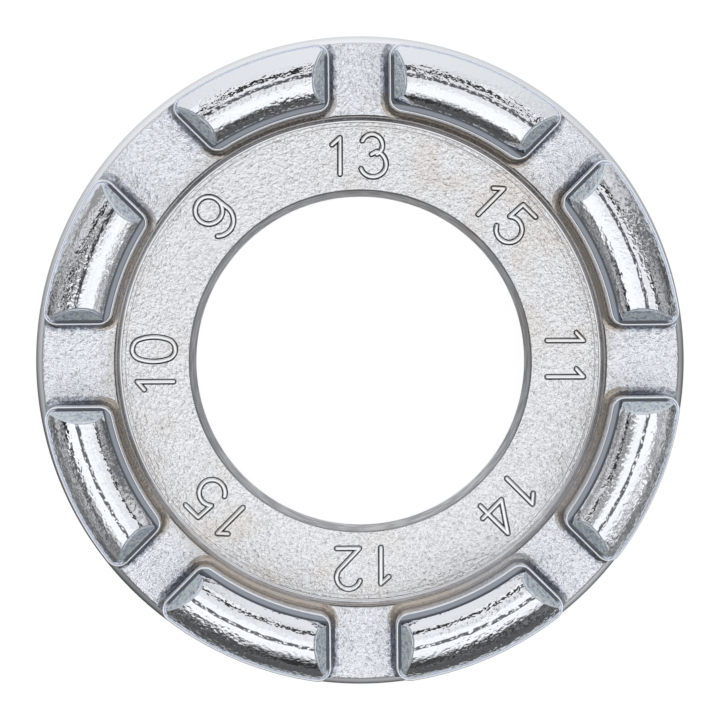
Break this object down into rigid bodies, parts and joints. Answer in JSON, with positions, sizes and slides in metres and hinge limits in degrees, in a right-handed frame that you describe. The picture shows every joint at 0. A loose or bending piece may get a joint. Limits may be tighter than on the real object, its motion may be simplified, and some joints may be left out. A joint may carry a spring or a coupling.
{
  "type": "spoke wrench",
  "caption": "Ring-shaped spoke wrench whose raised jaws leave numbered slots that grip a wheel's spoke nipples by their flats.",
  "frame": {"origin": "centre of the back face, on the bore's axis", "axes": "+Z along the bore out of the numbered face; +Y towards the slot marked 13; +X towards the slot marked 11"},
  "size_m": [0.04, 0.04, 0.0083],
  "materials": {
    "ring_metal": "fine blasted under satin chrome",
    "number_face": "fine turned and blasted, satin chrome",
    "jaw_metal": "polished chrome, end cuts left blasted"
  },
  "bodies": {
    "root": {"body_ring": "ring_metal", "number_ring": "number_face", "jaw_13_15": "jaw_metal", "jaw_15_11": "jaw_metal", "jaw_11_14": "jaw_metal", "jaw_14_12": "jaw_metal", "jaw_12_15": "jaw_metal", "jaw_15_10": "jaw_metal", "jaw_10_9": "jaw_metal", "jaw_9_13": "jaw_metal"}
  },
  "joints": []
}
